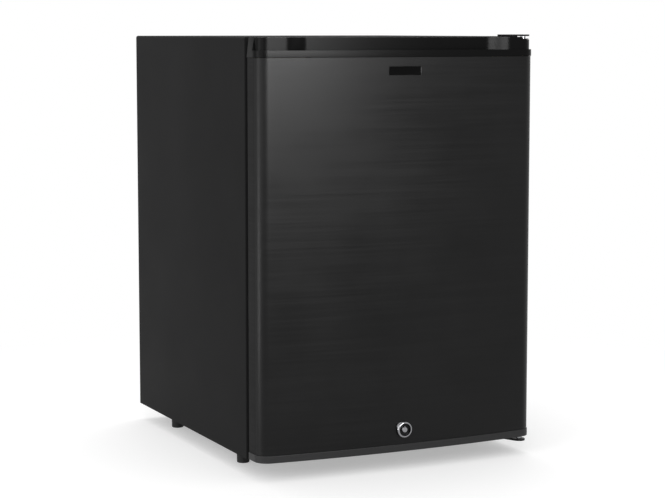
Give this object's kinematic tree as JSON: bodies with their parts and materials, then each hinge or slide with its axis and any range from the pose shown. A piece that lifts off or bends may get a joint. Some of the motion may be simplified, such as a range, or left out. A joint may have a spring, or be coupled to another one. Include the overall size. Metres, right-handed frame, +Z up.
{
  "type": "minibar fridge",
  "caption": "Small free-standing absorption minibar with a bowed lockable door hung on the right, slim feet and an open rear cooling unit.",
  "frame": {"origin": "on the floor, under the middle of the fridge's overall box, which reaches from the lock's face to the cabinet's rear edge", "axes": "+Z up, -Y out of the front of the door, +X to the right seen from the front, where the hinges are"},
  "size_m": [0.4036, 0.4646, 0.569],
  "materials": {
    "black_paint": "satin",
    "brushed_door": "satin",
    "galvanised_sheet": "satin",
    "foam": "matte",
    "white_liner": "satin",
    "white_plastic": "satin",
    "tray_plastic": "gloss",
    "grey_trim": "satin",
    "gasket_rubber": "matte",
    "aluminium": "satin",
    "black_steel": "satin",
    "black_plastic": "satin",
    "foot_plastic": "satin",
    "cap_plastic": "satin",
    "knob_plastic": "satin",
    "badge_gloss": "gloss",
    "clear_plastic": "gloss",
    "circuit_board": "satin",
    "hinge_steel": "satin",
    "pin_steel": "polished",
    "lock_chrome": "polished",
    "zinc_screws": "satin",
    "nylon": "satin",
    "white_wire": "satin"
  },
  "bodies": {
    "cabinet": {"cabinet_shell": "black_paint", "base_panel": "black_paint", "back_panel": "galvanised_sheet", "cabinet_foam": "foam", "inner_liner": "white_liner", "opening_trim": "grey_trim", "foam_plug": "foam", "evaporator_fins": "aluminium", "evaporator_tube": "black_steel", "condenser": "black_steel", "riser_tube": "black_steel", "boiler_housing": "galvanised_sheet", "absorber_vessel": "black_steel", "absorber_coil": "black_steel", "gas_heat_exchanger": "black_steel", "unit_channel": "galvanised_sheet", "terminal_box": "black_plastic", "cable_gland": "black_plastic", "control_housing": "white_plastic", "thermostat": "white_plastic", "lamp_board": "circuit_board", "lamp_lens": "clear_plastic", "reed_switch": "black_plastic", "hinge_plate_top": "hinge_steel", "hinge_plate_bottom": "hinge_steel", "hinge_pin_top": "pin_steel", "hinge_pin_bottom": "pin_steel", "hinge_screw_top_inner": "zinc_screws", "hinge_screw_top_outer": "zinc_screws", "hinge_screw_bottom_inner": "zinc_screws", "hinge_screw_bottom_outer": "zinc_screws", "lock_keeper": "zinc_screws", "keeper_screw": "zinc_screws", "foot_rear_left": "foot_plastic", "foot_rear_right": "foot_plastic"},
    "door": {"door_skin": "brushed_door", "door_foam": "foam", "door_liner": "white_liner", "door_gasket": "gasket_rubber", "door_top_cap": "cap_plastic", "door_bottom_cap": "cap_plastic", "badge_plate": "badge_gloss", "lock_body": "lock_chrome", "lock_nut": "zinc_screws", "hinge_bush_top": "nylon", "hinge_bush_bottom": "nylon", "reed_magnet": "black_steel"},
    "lock": {"lock_plug": "lock_chrome", "lock_cam": "zinc_screws", "lock_cam_screw": "zinc_screws"},
    "upper_rack": {"door_rack_upper": "clear_plastic"},
    "lower_rack": {"door_rack_lower": "clear_plastic"},
    "knob": {"thermostat_knob": "knob_plastic"},
    "tray": {"drip_tray": "tray_plastic"},
    "lower_shelf": {"shelf_lower": "white_wire"},
    "upper_shelf": {"shelf_upper": "white_wire"},
    "left_pad": {"foot_pad_front_left": "foot_plastic"},
    "left_stud": {"foot_stud_front_left": "zinc_screws"},
    "right_pad": {"foot_pad_front_right": "foot_plastic"},
    "right_stud": {"foot_stud_front_right": "zinc_screws"}
  },
  "joints": [
    {"name": "door_hinge", "type": "hinge", "parent": "cabinet", "child": "door", "pos_m": [0.19, -0.20375, 0.0253], "axis": [0, 0, 1], "range_deg": [0, 110]},
    {"name": "lock_turn", "type": "hinge", "parent": "door", "child": "lock", "pos_m": [0, -0.22775, 0.0545], "axis": [0, 1, 0], "range_deg": [0, 90]},
    {"name": "upper_rack_lift", "type": "slide", "parent": "door", "child": "upper_rack", "axis": [0, 0, 1], "range_m": [0, 0.022]},
    {"name": "lower_rack_lift", "type": "slide", "parent": "door", "child": "lower_rack", "axis": [0, 0, 1], "range_m": [0, 0.022]},
    {"name": "thermostat_turn", "type": "hinge", "parent": "cabinet", "child": "knob", "pos_m": [0.1357, -0.05375, 0.4735], "axis": [1, 0, 0], "range_deg": [0, 270]},
    {"name": "drip_tray_slide", "type": "slide", "parent": "cabinet", "child": "tray", "axis": [0, -1, 0], "range_m": [0, 0.09]},
    {"name": "lower_shelf_slide", "type": "slide", "parent": "cabinet", "child": "lower_shelf", "axis": [0, -1, 0], "range_m": [0, 0.058]},
    {"name": "upper_shelf_slide", "type": "slide", "parent": "cabinet", "child": "upper_shelf", "axis": [0, -1, 0], "range_m": [0, 0.058]},
    {"name": "left_foot_drop", "type": "slide", "parent": "cabinet", "child": "left_pad", "axis": [0, 0, -1], "range_m": [0, 0.01]},
    {"name": "left_foot_turn", "type": "hinge", "parent": "left_pad", "child": "left_stud", "pos_m": [-0.172, -0.09375, 0.01], "axis": [0, 0, 1], "range_deg": [0, 2880]},
    {"name": "right_foot_drop", "type": "slide", "parent": "cabinet", "child": "right_pad", "axis": [0, 0, -1], "range_m": [0, 0.01]},
    {"name": "right_foot_turn", "type": "hinge", "parent": "right_pad", "child": "right_stud", "pos_m": [0.172, -0.09375, 0.01], "axis": [0, 0, 1], "range_deg": [0, 2880]}
  ],
  "couplings": [
    {"joint": "left_foot_turn", "follows": "left_foot_drop", "rad_per_m": 5026.5},
    {"joint": "right_foot_turn", "follows": "right_foot_drop", "rad_per_m": 5026.5}
  ]
}
